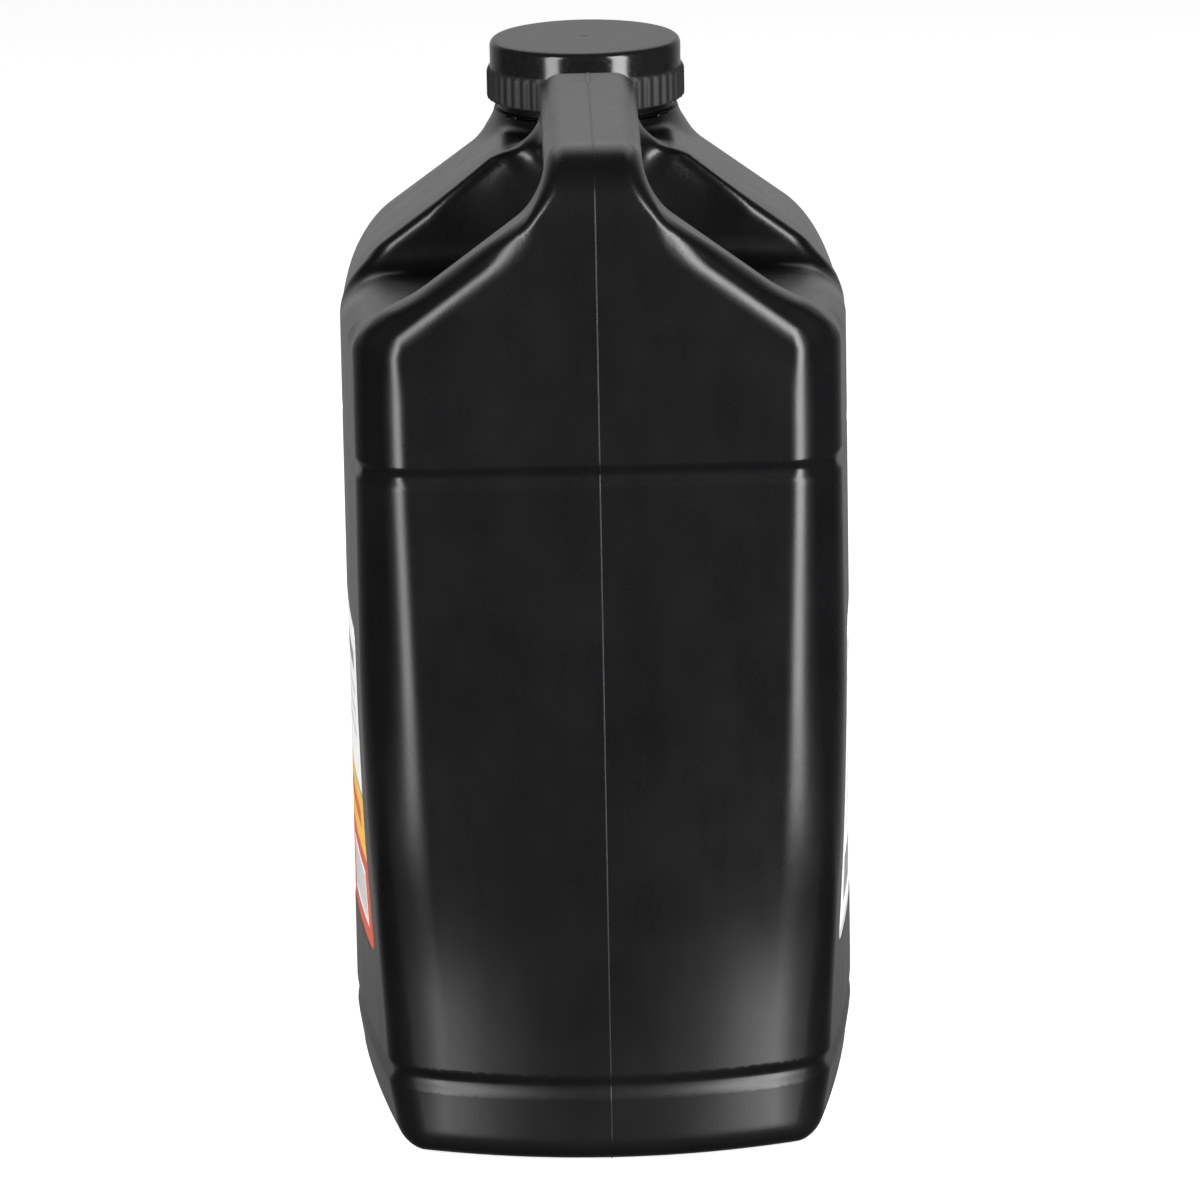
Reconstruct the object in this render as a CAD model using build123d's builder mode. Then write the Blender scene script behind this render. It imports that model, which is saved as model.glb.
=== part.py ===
from build123d import *
from math import sqrt
import os

# Motor oil jug of about ten litres, with a screw cap, its liner and two side labels.
#
# Millimetres. +Z is up, X runs across the width and Y along the length: the grip and the plain
# narrow side are at -Y, the neck and the pouring side at +Y. The origin is the middle of the
# footprint, on the surface that the jug stands on. The mould parts on the plane X = 0.

# Body
BODY_WIDTH = 165.0
BODY_LENGTH = 240.0
WALL = 1.4
FOOT_RADIUS = 10.0
SIDE_BOW = 7.0
BASE_GROOVE_Z = 26.0
UPPER_GROOVE_Z = 228.0
# Height, corner radius and end bow of each section of the body, from the foot to the upper groove
BODY_SECTIONS = (
    (0.0, 35.0, 20.0),
    (BASE_GROOVE_Z, 35.0, 20.0),
    (80.0, 34.0, 14.0),
    (155.0, 29.0, 5.0),
    (UPPER_GROOVE_Z, 24.0, 1.5),
)
GROOVE_HEIGHT = 4.5
GROOVE_DEPTH = 1.8

# Shoulder, a roof that falls from the neck to both sides, and ends in half a cone in front of it
SHOULDER_TOP_Z = 310.0
SHOULDER_INSET = 0.4
SHOULDER_SLOPE = 0.74
SHOULDER_RADIUS = 30.0
STRAP_DROP = 5.5
STRAP_FLARE_RADIUS = 22.0

# Grip, with the finger hole under it and a scooped pocket on each side
GRIP_TOP_Z = 334.5
GRIP_WIDTH = 31.0
GRIP_THICKNESS = 27.0
GRIP_CORNER_RADIUS = 9.0
GRIP_FRONT_Y = 4.0
GRIP_BEND_RADIUS = 14.0
STRAP_THICKNESS = 27.0
POCKET_FRONT_Y = -4.0
POCKET_WALL_Y = -16.0
POCKET_RAMP_Z = 290.0
POCKET_FLOOR_Z = 268.0
POCKET_FRONT_RADIUS = 14.0
POCKET_REAR_RADIUS = 14.0

# Neck, with a coarse right-hand thread
NECK_Y = 48.0
NECK_RADIUS = 28.7
NECK_WALL = 2.4
NECK_RIM_Z = 334.1
COLLAR_STEP = 1.7
COLLAR_GAP = 3.1
THREAD_PITCH = 5.0
THREAD_TURNS = 1.25
THREAD_DEPTH = 1.4
THREAD_ROOT_WIDTH = 2.5
THREAD_CREST_WIDTH = 1.2
THREAD_START_Z = 319.8
THREAD_SINK = 0.4

# Cap
CAP_TOP_WALL = 2.0
CAP_HEIGHT = 19.9
CAP_BAND_WALL = 1.15
CAP_SKIRT_WALL = 1.65
CAP_RIB_DEPTH = 0.8
CAP_RIB_WIDTH = 2.2
CAP_RIB_COUNT = 50
CAP_RIB_HEIGHT = 10.0
CAP_EDGE_RADIUS = 1.6
CAP_GATE_RADIUS = 1.1
CAP_GATE_DEPTH = 0.4
THREAD_CLEARANCE = 0.35
LINER_THICKNESS = 0.9
LINER_CLEARANCE = 0.3

# Labels, one on each broad side, in a shallow recess
LABEL_LENGTH = 158.0
LABEL_LOW_Z = 60.0
LABEL_HIGH_Z = 168.0
LABEL_CORNER_RADIUS = 7.0
LABEL_THICKNESS = 0.3
LABEL_RECESS = 0.5
LABEL_MARGIN = 1.0

# Values that follow from the ones above
BODY_TOP_Z = GRIP_TOP_Z + 10.0
LINER_TOP_Z = NECK_RIM_Z + LINER_THICKNESS
CAP_TOP_Z = LINER_TOP_Z + CAP_TOP_WALL
CAP_BOTTOM_Z = CAP_TOP_Z - CAP_HEIGHT
CAP_BORE_RADIUS = NECK_RADIUS + THREAD_DEPTH + THREAD_CLEARANCE
CAP_BAND_RADIUS = CAP_BORE_RADIUS + CAP_BAND_WALL
CAP_SKIRT_RADIUS = CAP_BORE_RADIUS + CAP_SKIRT_WALL
COLLAR_RADIUS = NECK_RADIUS + COLLAR_STEP
COLLAR_TOP_Z = CAP_BOTTOM_Z - COLLAR_GAP
SHOULDER_HALF_TOP = COLLAR_RADIUS - SHOULDER_INSET
STRAP_FRONT_Y = STRAP_THICKNESS - BODY_LENGTH / 2
GRIP_UNDERSIDE_Z = GRIP_TOP_Z - GRIP_THICKNESS
CUT_REACH = BODY_WIDTH


def section(inset, height, corner_radius, end_bow):
    """Face across the body at a height: a rounded rectangle with bowed sides, moved in by the inset."""
    half_width = BODY_WIDTH / 2 - inset
    half_length = BODY_LENGTH / 2 - inset
    corner_x = half_width - SIDE_BOW
    corner_y = half_length - end_bow
    with BuildSketch(Plane.XY.offset(height)) as face:
        with BuildLine():
            ThreePointArc((corner_x, -corner_y), (half_width, 0), (corner_x, corner_y))
            ThreePointArc((corner_x, corner_y), (0, half_length), (-corner_x, corner_y))
            ThreePointArc((-corner_x, corner_y), (-half_width, 0), (-corner_x, -corner_y))
            ThreePointArc((-corner_x, -corner_y), (0, -half_length), (corner_x, -corner_y))
        make_face()
        fillet(face.vertices(), corner_radius - inset)
    return face.sketch


def lower_body(inset):
    """Sections lofted from the foot up to the upper groove."""
    with BuildPart() as solid:
        loft([section(inset, *size) for size in BODY_SECTIONS])
    return solid.part


def column(inset):
    """Body without its shoulder: the lower body, carried straight up past the grip."""
    with BuildPart() as solid:
        add(lower_body(inset))
        extrude(section(inset, *BODY_SECTIONS[-1]), amount=BODY_TOP_Z - UPPER_GROOVE_Z)
    return solid.part


def roof_height(half_width):
    """Height of the shoulder's slope at a distance from the mould's parting plane."""
    return SHOULDER_TOP_Z - SHOULDER_SLOPE * (half_width - SHOULDER_HALF_TOP)


def end_outline(inset):
    """Face seen along Y: the foot, the upright sides and the sloping shoulder."""
    half_width = BODY_WIDTH / 2
    with BuildSketch(Plane.XZ) as face:
        with BuildLine():
            Polyline(
                (-half_width, 0),
                (half_width, 0),
                (half_width, roof_height(half_width)),
                (SHOULDER_HALF_TOP, SHOULDER_TOP_Z),
                (-SHOULDER_HALF_TOP, SHOULDER_TOP_Z),
                (-half_width, roof_height(half_width)),
                close=True,
            )
        make_face()
        levels = face.vertices().group_by(Axis.Y)
        fillet(levels[0], FOOT_RADIUS)
        shoulders = face.vertices().filter_by(lambda v: abs(v.Y - roof_height(half_width)) < 0.001)
        fillet(shoulders, SHOULDER_RADIUS)
        if inset:
            offset(amount=-inset)
    return face.sketch


def side_outline(inset):
    """Face seen along X: the foot, the back, the grip's bend and the slope in front of the neck."""
    half_length = BODY_LENGTH / 2
    slope_top_y = NECK_Y + SHOULDER_HALF_TOP
    slope_foot_z = SHOULDER_TOP_Z - SHOULDER_SLOPE * (half_length - slope_top_y)
    with BuildSketch(Plane.YZ) as face:
        with BuildLine():
            Polyline(
                (-half_length, 0),
                (half_length, 0),
                (half_length, slope_foot_z),
                (slope_top_y, SHOULDER_TOP_Z),
                (slope_top_y, GRIP_TOP_Z),
                (-half_length, GRIP_TOP_Z),
                close=True,
            )
        make_face()
        levels = face.vertices().group_by(Axis.Y)
        fillet(levels[0], FOOT_RADIUS)
        front = face.vertices().filter_by(lambda v: abs(v.Y - slope_foot_z) < 0.001)
        fillet(front, SHOULDER_RADIUS)
        bend = face.vertices().group_by(Axis.Y)[-1].sort_by(Axis.X)[0]
        fillet(bend, GRIP_BEND_RADIUS)
        if inset:
            offset(amount=-inset)
    return face.sketch


def pocket_outline(inset):
    """Face seen along X of the space that is scooped out between the back strap and the shoulder."""
    with BuildSketch(Plane.YZ) as face:
        with BuildLine():
            Polyline(
                (STRAP_FRONT_Y, POCKET_FLOOR_Z),
                (POCKET_WALL_Y, POCKET_FLOOR_Z),
                (POCKET_WALL_Y, POCKET_RAMP_Z),
                (POCKET_FRONT_Y, POCKET_RAMP_Z + POCKET_FRONT_Y - POCKET_WALL_Y),
                (POCKET_FRONT_Y, BODY_TOP_Z),
                (STRAP_FRONT_Y, BODY_TOP_Z),
                close=True,
            )
        make_face()
        floor = face.vertices().group_by(Axis.Y)[0].sort_by(Axis.X)
        fillet(floor[0], POCKET_REAR_RADIUS)
        fillet(floor[-1], POCKET_FRONT_RADIUS)
        if inset:
            offset(amount=inset)
    return face.sketch


def strap_outline(inset):
    """Face seen along Y of the back strap, which flares from the grip down to the shoulder's slope."""
    half_width = BODY_WIDTH / 2
    half_grip = GRIP_WIDTH / 2
    low_z = UPPER_GROOVE_Z
    with BuildSketch(Plane.XZ) as face:
        with BuildLine():
            Polyline(
                (-half_width, low_z),
                (half_width, low_z),
                (half_width, roof_height(half_width) - STRAP_DROP),
                (half_grip, roof_height(half_grip) - STRAP_DROP),
                (half_grip, GRIP_TOP_Z),
                (-half_grip, GRIP_TOP_Z),
                (-half_grip, roof_height(half_grip) - STRAP_DROP),
                (-half_width, roof_height(half_width) - STRAP_DROP),
                close=True,
            )
        make_face()
        flare_z = roof_height(half_grip) - STRAP_DROP
        flares = face.vertices().filter_by(lambda v: abs(v.Y - flare_z) < 0.001)
        fillet(flares, STRAP_FLARE_RADIUS)
        shoulder_z = roof_height(half_width) - STRAP_DROP
        shoulders = face.vertices().filter_by(lambda v: abs(v.Y - shoulder_z) < 0.001)
        fillet(shoulders, SHOULDER_RADIUS)
        if inset:
            offset(amount=-inset)
    return face.sketch


def grip_outline(inset):
    """Face seen along X of the grip's bar and of both its legs."""
    half_length = BODY_LENGTH / 2
    leg_foot_z = POCKET_FLOOR_Z - POCKET_REAR_RADIUS
    with BuildSketch(Plane.YZ) as face:
        with BuildLine():
            Polyline(
                (-half_length, leg_foot_z),
                (-half_length, GRIP_TOP_Z),
                (GRIP_FRONT_Y, GRIP_TOP_Z),
                (GRIP_FRONT_Y, leg_foot_z),
                (POCKET_FRONT_Y, leg_foot_z),
                (POCKET_FRONT_Y, GRIP_UNDERSIDE_Z),
                (STRAP_FRONT_Y, GRIP_UNDERSIDE_Z),
                (STRAP_FRONT_Y, leg_foot_z),
                close=True,
            )
        make_face()
        top = face.vertices().group_by(Axis.Y)[-1].sort_by(Axis.X)
        fillet(top[0], GRIP_BEND_RADIUS)
        fillet(top[-1], GRIP_CORNER_RADIUS)
        underside = face.vertices().filter_by(lambda v: abs(v.Y - GRIP_UNDERSIDE_Z) < 0.001)
        fillet(underside, POCKET_REAR_RADIUS)
        if inset:
            offset(amount=-inset)
    return face.sketch


def front_cut(inset):
    """What is cut away in front of the neck's middle, round a cone with the shoulder's slope."""
    drop = inset * sqrt(1 + SHOULDER_SLOPE**2)
    cone_height = SHOULDER_TOP_Z - UPPER_GROOVE_Z
    top_radius = SHOULDER_HALF_TOP - drop / SHOULDER_SLOPE
    with BuildPart() as cut:
        with Locations((0, NECK_Y + CUT_REACH / 2, SHOULDER_TOP_Z - cone_height / 2)):
            Box(2 * CUT_REACH, CUT_REACH, cone_height)
        with Locations((0, NECK_Y, SHOULDER_TOP_Z - cone_height / 2)):
            Cone(top_radius + cone_height / SHOULDER_SLOPE, top_radius, cone_height, mode=Mode.SUBTRACT)
    return cut.part


def groove_ring(height, inset):
    """Ring that cuts a groove round the body at a height."""
    sizes = {size[0]: size[1:] for size in BODY_SECTIONS}
    half_height = GROOVE_HEIGHT / 2 + inset
    with BuildPart() as ring:
        with BuildSketch(Plane.XY.offset(height - half_height)):
            Rectangle(BODY_WIDTH + CUT_REACH, BODY_LENGTH + CUT_REACH)
        extrude(amount=2 * half_height)
        core = section(inset + GROOVE_DEPTH, height - half_height, *sizes[height])
        extrude(core, amount=2 * half_height, mode=Mode.SUBTRACT)
    return ring.part


def label_prism(margin):
    """Bar along X with the label's outline, through both broad sides."""
    with BuildPart() as bar:
        middle_z = (LABEL_LOW_Z + LABEL_HIGH_Z) / 2
        with BuildSketch(Plane((-CUT_REACH, 0, middle_z), x_dir=(0, 1, 0), z_dir=(1, 0, 0))):
            RectangleRounded(
                LABEL_LENGTH + 2 * margin,
                LABEL_HIGH_Z - LABEL_LOW_Z + 2 * margin,
                LABEL_CORNER_RADIUS + margin,
            )
        extrude(amount=2 * CUT_REACH)
    return bar.part


def jug_form(inset):
    """Solid inside the jug's skin at a depth: the skin's outside at 0, its inside at the wall."""
    half_length = BODY_LENGTH / 2
    with BuildPart() as strap:
        extrude(strap_outline(inset), amount=half_length)
        with BuildSketch(Plane.XZ.offset(-STRAP_FRONT_Y + inset)):
            Rectangle(2 * CUT_REACH, 4 * BODY_TOP_Z)
        extrude(amount=-BODY_LENGTH, mode=Mode.SUBTRACT)
    with BuildPart() as form:
        extrude(end_outline(inset), amount=half_length, both=True)
        extrude(pocket_outline(inset), amount=CUT_REACH, both=True, mode=Mode.SUBTRACT)
        with BuildSketch(Plane.XY.offset(POCKET_FLOOR_Z - inset)):
            with Locations((0, STRAP_FRONT_Y + inset - CUT_REACH / 2)):
                Rectangle(2 * CUT_REACH, CUT_REACH)
        extrude(amount=CUT_REACH, mode=Mode.SUBTRACT)
        add(strap.part)
        add(front_cut(inset), mode=Mode.SUBTRACT)
        add(column(inset), mode=Mode.INTERSECT)
        extrude(side_outline(inset), amount=CUT_REACH, both=True, mode=Mode.INTERSECT)
        for groove_z in (BASE_GROOVE_Z, UPPER_GROOVE_Z):
            add(groove_ring(groove_z, inset), mode=Mode.SUBTRACT)
    with BuildPart() as grip:
        extrude(grip_outline(inset), amount=GRIP_WIDTH / 2 - inset, both=True)
    return form.part + grip.part


def thread(root_radius, depth, start_z, start_turn):
    """Helical bead on a wall of the root radius; a negative depth points it inward."""
    sink = THREAD_SINK if depth < 0 else -THREAD_SINK
    flank = (THREAD_ROOT_WIDTH - THREAD_CREST_WIDTH) / 2 / abs(depth)
    sunk_half_width = THREAD_ROOT_WIDTH / 2 + THREAD_SINK * flank
    with BuildPart() as bead:
        with BuildLine():
            path = Helix(THREAD_PITCH, THREAD_PITCH * THREAD_TURNS, root_radius)
        with BuildSketch(Plane(origin=path @ 0, x_dir=(1, 0, 0), z_dir=path % 0)):
            with BuildLine():
                Polyline(
                    (sink, -sunk_half_width),
                    (depth, -THREAD_CREST_WIDTH / 2),
                    (depth, THREAD_CREST_WIDTH / 2),
                    (sink, sunk_half_width),
                    close=True,
                )
            make_face()
        sweep(path=path, is_frenet=True)
    return Pos(0, NECK_Y, start_z) * Rot(0, 0, 360 * start_turn) * bead.part


def neck_outline():
    """Half section of the neck's outside, to turn about its axis: a collar, then the threaded part."""
    with BuildSketch(Plane.XZ.offset(-NECK_Y)) as half:
        with BuildLine():
            Polyline(
                (0, POCKET_FLOOR_Z),
                (COLLAR_RADIUS, POCKET_FLOOR_Z),
                (COLLAR_RADIUS, COLLAR_TOP_Z - COLLAR_STEP),
                (NECK_RADIUS, COLLAR_TOP_Z),
                (NECK_RADIUS, NECK_RIM_Z),
                (0, NECK_RIM_Z),
                close=True,
            )
        make_face()
    return half.sketch


NECK_AXIS = Axis((0, NECK_Y, 0), (0, 0, 1))

# Jug: one blown shell with its grip, finger hole, grooves, label panels and threaded neck
with BuildPart() as jug:
    add(jug_form(0))
    add(neck_outline())
    revolve(axis=NECK_AXIS)
    add(thread(NECK_RADIUS, THREAD_DEPTH, THREAD_START_Z, 0))
    add(label_prism(LABEL_MARGIN) - lower_body(LABEL_RECESS), mode=Mode.SUBTRACT)
    add(jug_form(WALL), mode=Mode.SUBTRACT)
    with BuildSketch(Plane.XY.offset(NECK_RIM_Z)):
        with Locations((0, NECK_Y)):
            Circle(NECK_RADIUS - NECK_WALL)
    extrude(amount=POCKET_FLOOR_Z - NECK_RIM_Z, mode=Mode.SUBTRACT)
jug.part.label = "jug"

# Labels: a printed skin on the floor of each recess
labels = label_prism(0) & lower_body(LABEL_RECESS - LABEL_THICKNESS) - lower_body(LABEL_RECESS)
label_left = labels.solids().sort_by(Axis.X)[0]
label_left.label = "label_left"
label_right = labels.solids().sort_by(Axis.X)[-1]
label_right.label = "label_right"

# Cap: a smooth band over a ribbed skirt, threaded inside
with BuildPart() as cap:
    with BuildSketch(Plane.XZ.offset(-NECK_Y)) as cap_half:
        with BuildLine():
            Polyline(
                (0, CAP_TOP_Z),
                (CAP_BAND_RADIUS, CAP_TOP_Z),
                (CAP_BAND_RADIUS, CAP_BOTTOM_Z + CAP_RIB_HEIGHT),
                (CAP_SKIRT_RADIUS, CAP_BOTTOM_Z + CAP_RIB_HEIGHT),
                (CAP_SKIRT_RADIUS, CAP_BOTTOM_Z),
                (CAP_BORE_RADIUS, CAP_BOTTOM_Z),
                (CAP_BORE_RADIUS, LINER_TOP_Z),
                (0, LINER_TOP_Z),
                close=True,
            )
        make_face()
        rim = cap_half.vertices().group_by(Axis.Y)[-1].sort_by(Axis.X)[-1]
        fillet(rim, CAP_EDGE_RADIUS)
    revolve(axis=NECK_AXIS)
    with BuildSketch(Plane.XY.offset(CAP_BOTTOM_Z)):
        with Locations((0, NECK_Y)):
            with PolarLocations(CAP_SKIRT_RADIUS, CAP_RIB_COUNT):
                Rectangle(2 * CAP_RIB_DEPTH, CAP_RIB_WIDTH)
    extrude(amount=CAP_RIB_HEIGHT)
    with BuildSketch(Plane.XY.offset(CAP_TOP_Z)):
        with Locations((0, NECK_Y)):
            Circle(CAP_GATE_RADIUS)
    extrude(amount=-CAP_GATE_DEPTH, mode=Mode.SUBTRACT)
    add(thread(CAP_BORE_RADIUS, -THREAD_DEPTH, THREAD_START_Z, 1 / 2))
cap.part.label = "cap"

# Liner: a foam wad under the cap's top, on the neck's rim
with BuildPart() as cap_liner:
    with BuildSketch(Plane.XY.offset(NECK_RIM_Z)):
        with Locations((0, NECK_Y)):
            Circle(CAP_BORE_RADIUS - LINER_CLEARANCE)
    extrude(amount=LINER_THICKNESS)
cap_liner.part.label = "cap_liner"

os.makedirs("parts", exist_ok=True)
for piece in (jug.part, cap.part, cap_liner.part, label_left, label_right):
    export_step(piece, f"parts/{piece.label}.step")
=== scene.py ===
"""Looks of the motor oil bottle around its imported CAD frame.

A blown black jug with a grip, its screw cap, the foam liner in the cap and two printed side labels.
Shapes are worked out in millimetres and stored in metres. The jug's skin is the zero surface of one
implicit form.
"""

import math

import bmesh
import bpy
import numpy as np
from mathutils import Matrix, Vector


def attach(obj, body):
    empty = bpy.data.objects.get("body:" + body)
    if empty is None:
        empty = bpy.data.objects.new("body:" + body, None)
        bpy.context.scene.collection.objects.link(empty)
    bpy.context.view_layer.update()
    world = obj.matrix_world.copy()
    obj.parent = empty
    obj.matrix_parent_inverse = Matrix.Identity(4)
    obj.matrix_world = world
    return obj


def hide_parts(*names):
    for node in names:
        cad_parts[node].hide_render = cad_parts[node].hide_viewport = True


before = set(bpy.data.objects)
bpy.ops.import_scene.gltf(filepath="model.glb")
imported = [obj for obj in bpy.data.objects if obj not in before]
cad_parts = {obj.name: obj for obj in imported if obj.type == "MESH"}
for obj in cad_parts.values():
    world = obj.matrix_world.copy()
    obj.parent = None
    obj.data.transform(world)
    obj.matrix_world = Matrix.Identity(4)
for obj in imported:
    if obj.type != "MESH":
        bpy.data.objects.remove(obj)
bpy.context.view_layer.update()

MM = 0.001
REACH = 400.0  # further than any part of the bottle, in mm

# Camera, as solved from the photograph
CAMERA_PLACE = (-0.0370, -2.720, 0.8672)
CAMERA_PITCH = 14.64
CAMERA_YAW = 0.8
CAMERA_ROLL = 1.05
FOCAL_SHARE = 8500 / 1200  # focal length over the width of the picture
SENSOR_WIDTH = 36.0

# Lights and floor, in metres
LIGHT_TARGET = (0, 0, 0.17)
LIGHT_DISTANCE = 1.5
FLOOR_GAP = 0.0004  # keeps the floor clear of the seam bead under the base

# Body of the jug
HALF_WIDTH = 82.4
HALF_LENGTH = 119.7
SIDE_BOW_RADIUS = 1000.0
SIDE_END_START = 98.0
SIDE_END_SOFTNESS = 120.0
BASE_TAPER = 0.078
BASE_TAPER_START = 8.0
FOOT_INSET = 2.0
FOOT_INSET_RANGE = (24.0, 6.0)
STAGE_HEIGHTS = (0, 26, 68, 100, 155, 228)
END_BOWS = (23.0, 23.0, 20.0, 9.5, 3.8, 1.2)
FACET_ANGLE = math.radians(50)
FACET_STARTS = (58.0, 58.0, 60.0, 62.0, 62.5, 64.5)
FACET_CREASE = 3.0
REAR_EDGE_BLENDS = (11.0, 11.0, 10.0, 7.5, 5.0, 4.0)
CORNER_BLENDS = (7.0, 7.0, 5.8, 4.6, 3.2, 2.2)
TAPER_SHARES = (1.0, 1.0, 0.6, 0.25, 0.0, 0.0)
UPPER_EDGE_RANGE = (250.0, 270.0)
UPPER_EDGE_REAR = -1.2
UPPER_EDGE_FRONT = 5.0
FOOT_RADIUS = 9.0
BASE_GROOVE_Z = 26.0
UPPER_GROOVE_Z = 228.0
GROOVE_HALF = 3.8
GROOVE_DEPTH = 1.6

# Shoulder, pocket and grip
SHOULDER_TOP = 310.0
SHOULDER_HALF_TOP = 30.0
SHOULDER_FRONT = 45.0
SHOULDER_FRONT_SHARE = 1.05
SHOULDER_FALL = 0.035
SLOPE = 0.74
SLOPE_SCALE = 1 / math.hypot(1, SLOPE)
SIDE_ROUNDING = 12.2
POCKET_SIDE_ROUNDING = 7.0
ROOF_SIDE_ROUNDING = 15.0
STRAP_TO_POCKET = (-97.0, -81.0)  # where along y one side rounding turns into the next
POCKET_TO_ROOF = (-62.0, -18.0)
FRONT_CORNER_RISE = 42.0
ROOF_TOP_BLEND = 2.0
ROOF_REAR_BLEND = 4.2
STRAP_DROP = 5.5
STRAP_FRONT = -93.0
STRAP_FLARE = 8.9
STRAP_EDGE = 7.0
STRAP_LEAD = 2.0
BEVEL = 6.5
BEVEL_FADE = (294.0, 324.0)
BEVEL_LOSS = 1.6
GRIP_HALF = 15.5
GRIP_UNDER = 307.5
GRIP_FRONT = 4.0
GRIP_TOP_REAR = 331.0
GRIP_TOP_FRONT = 334.4
GRIP_TOP_RANGE = (-95.0, -15.0)
GRIP_BEND = 24.0
GRIP_CORNER = 7.0
RIDGE_HEIGHTS = (250.0, 274.0, 304.0, 322.0)
RIDGE_CHANGES = (0.0, 0.6, 0.8, GRIP_CORNER - CORNER_BLENDS[-1])
POCKET_CORNER = 14.0
POCKET_FLOOR = 272.0
FLOOR_SLOPE = 0.05
FLOOR_BLEND = 9.0
FLOOR_DROP = 25.0  # at the sides the pocket's floor drops away under the roof
FLOOR_DROP_Y = (-17.0, 3.0)
FLOOR_DROP_X = (48.0, 74.0)
FRONT_WALL = -16.0
RAMP_FOOT = 290.0
RAMP_TOP_X = 44.0
RAMP_TOP_SLOPE = 0.64
LIP_Y = -4.0
LIP_SOFTNESS = 9.0
LIP_BLEND = 8.0
WALL_BLEND = 9.0

# Neck, cap and liner
NECK_Y = 48.0
NECK_RADIUS = 28.7
NECK_BORE = 26.3
NECK_RIM = 334.1
COLLAR_RADIUS = 30.4
COLLAR_TOP = 314.0
COLLAR_FILLET = 8.0
COLLAR_ROOT = 285.0
THREAD_PITCH = 5.0
THREAD_TURNS = 1.25
THREAD_DEPTH = 1.4
THREAD_ROOT = 2.5
THREAD_CREST = 1.2
THREAD_START = 319.8
THREAD_ROW = 0.42  # height of a mesh row along a thread
NECK_COUNT = 192
CAP_FOOT = 317.1
CAP_TOP = 337.0
CAP_BAND_RADIUS = 31.6
CAP_RIB_ROOT = 32.0
CAP_RIB_DEPTH = 0.75
CAP_RIB_TOP = 327.4
CAP_RIBS = 50
CAP_RIM = 2.4
CAP_BORE = 30.45
CAP_ROOF = 335.0
GATE_RADIUS = 1.1
AXIS_GAP = 0.35  # radius of the small faces that close the cap at its axis
LINER_RADIUS = 30.1
LINER_COUNT = 128
LINER_THICKNESS = 0.9

# Labels
LABEL_HALF_LENGTH = 79.0
LABEL_FOOT = 60.0
LABEL_TOP = 168.0
LABEL_CORNER = 7.0
LABEL_RECESS = 0.5
LABEL_SINK = 0.2
LABEL_MARGIN = 1.0
LABEL_EDGE = 1.5
LABEL_SIDE = (60.0, 68.0)

WALL = 1.4
SKIN_STEP = 1.3
CAVITY_STEP = 5.0
SKIN_SHARE = 0.36
SEAM_STEP = 1.5
RIM_REACH = 4.0  # how far outside the collar a vertex can lie and still belong to its rim
NORMAL_AGREEMENT = 0.2  # least cosine between a vertex's own normal and the form's
CELL_CORNERS = [(i, j, k) for i in (0, 1) for j in (0, 1) for k in (0, 1)]


# Implicit form of the jug: negative inside, near to a distance in mm


def convex(a, b, r):
    """Intersection of two forms with a rounded edge."""
    return np.minimum(-r, np.maximum(a, b)) + np.hypot(np.maximum(a + r, 0), np.maximum(b + r, 0))


def concave(a, b, r):
    """Union of two forms with a filleted corner."""
    return np.maximum(r, np.minimum(a, b)) - np.hypot(np.maximum(r - a, 0), np.maximum(r - b, 0))


def least(a, b, r):
    """The smaller of two values, with the change from one to the other softened."""
    return 0.5 * (a + b - np.hypot(a - b, r))


def ease(t):
    t = np.clip(t, 0, 1)
    return t * t * (3 - 2 * t)


def between(value, span):
    """A smooth rise from 0 at the span's first value to 1 at its second."""
    return ease((value - span[0]) / (span[1] - span[0]))


def bump(t):
    """A soft bump that is 1 at t = 0 and falls to 0 at t = 1 and -1."""
    return np.maximum(0, 1 - t * t) ** 2


def label_field(y, z, margin):
    """Negative inside the label's rounded outline."""
    half_height = (LABEL_TOP - LABEL_FOOT) / 2 + margin
    off_y = np.abs(y) - (LABEL_HALF_LENGTH + margin) + LABEL_CORNER
    off_z = np.abs(z - (LABEL_TOP + LABEL_FOOT) / 2) - half_height + LABEL_CORNER
    outside = np.hypot(np.maximum(off_y, 0), np.maximum(off_z, 0))
    return outside + np.minimum(np.maximum(off_y, off_z), 0) - LABEL_CORNER


def stages(values, softness=14.0):
    """A smooth curve over z through about the values at the stage heights."""
    heights = np.arange(-80.0, 421.0, 2.0)
    reach = np.arange(-40.0, 41.0, 2.0)
    weight = np.exp(-0.5 * (reach / softness) ** 2)
    return heights, np.convolve(np.interp(heights, STAGE_HEIGHTS, values), weight / weight.sum(), "same")


BOW_CURVE = stages(END_BOWS)
FACET_CURVE = stages(FACET_STARTS)
REAR_EDGE_CURVE = stages(REAR_EDGE_BLENDS)
CORNER_CURVE = stages(CORNER_BLENDS)
TAPER_CURVE = stages(TAPER_SHARES)


def side_form(x, y, z):
    end = np.maximum(0, np.abs(y) - SIDE_END_START)
    taper = BASE_TAPER * (np.hypot(y, BASE_TAPER_START) - BASE_TAPER_START) * np.interp(z, *TAPER_CURVE)
    taper = taper + FOOT_INSET * between(z, FOOT_INSET_RANGE)
    return x + taper - (HALF_WIDTH - y * y / (2 * SIDE_BOW_RADIUS) - end * end / SIDE_END_SOFTNESS)


def end_form(x, y, z):
    bow = np.interp(z, *BOW_CURVE)
    return np.abs(y) - (HALF_LENGTH - bow * (x / HALF_WIDTH) ** 2)


def facet_form(x, y, z):
    start = np.interp(z, *FACET_CURVE)
    return (x - start) * math.sin(FACET_ANGLE) + (np.abs(y) - HALF_LENGTH) * math.cos(FACET_ANGLE)


def slope_form(x, z, drop):
    return (z - SHOULDER_TOP + drop + SLOPE * (x - SHOULDER_HALF_TOP)) * SLOPE_SCALE


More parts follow.
